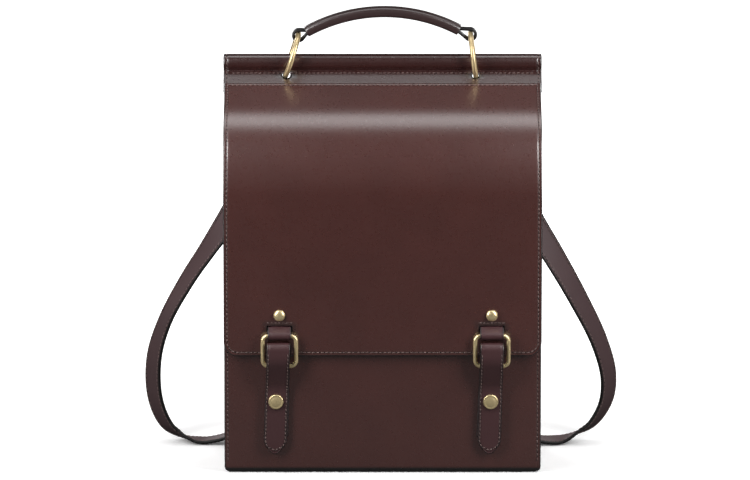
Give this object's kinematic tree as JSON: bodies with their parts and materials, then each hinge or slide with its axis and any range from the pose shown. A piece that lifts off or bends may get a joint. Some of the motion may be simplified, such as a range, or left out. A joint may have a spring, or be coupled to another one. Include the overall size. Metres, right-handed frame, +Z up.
{
  "type": "leather laptop backpack",
  "caption": "Upright flat leather backpack with a long flap over the top, folded straps with snaps, a short handle on brass rings and thin shoulder straps.",
  "frame": {"origin": "middle of the base, on the floor that the bag stands on", "axes": "+Z up, the front with the flap faces -Y, +X is right seen from the front"},
  "size_m": [0.4332, 0.1506, 0.4099],
  "materials": {
    "leather": "smooth dark brown leather with a soft gloss and dark painted edges",
    "strap_leather": "the same leather as straps, dark edges and a stitched border",
    "brass": "polished pale brass, lightly brushed",
    "roll_filling": "dark filling of the rolled top edge, only its ends show"
  },
  "bodies": {
    "bag": {"front_panel": "leather", "back_panel": "leather", "gusset_left": "leather", "gusset_right": "leather", "flap": "leather", "top_band": "leather", "top_core": "roll_filling", "stud_left": "brass", "stud_right": "brass", "tab_left": "strap_leather", "tab_right": "strap_leather", "square_ring_left": "brass", "square_ring_right": "brass", "closing_strap_left": "strap_leather", "closing_strap_right": "strap_leather", "snap_left": "brass", "snap_right": "brass", "shoulder_strap_left": "strap_leather", "shoulder_strap_right": "strap_leather"},
    "handle": {"handle_ring_left": "brass", "handle_ring_right": "brass", "handle_strap": "strap_leather", "handle_cover": "leather"}
  },
  "joints": [
    {"name": "handle_swing", "type": "hinge", "parent": "bag", "child": "handle", "pos_m": [0, 0.045, 0.3653], "axis": [1, 0, 0], "range_deg": [-30, 30]}
  ]
}
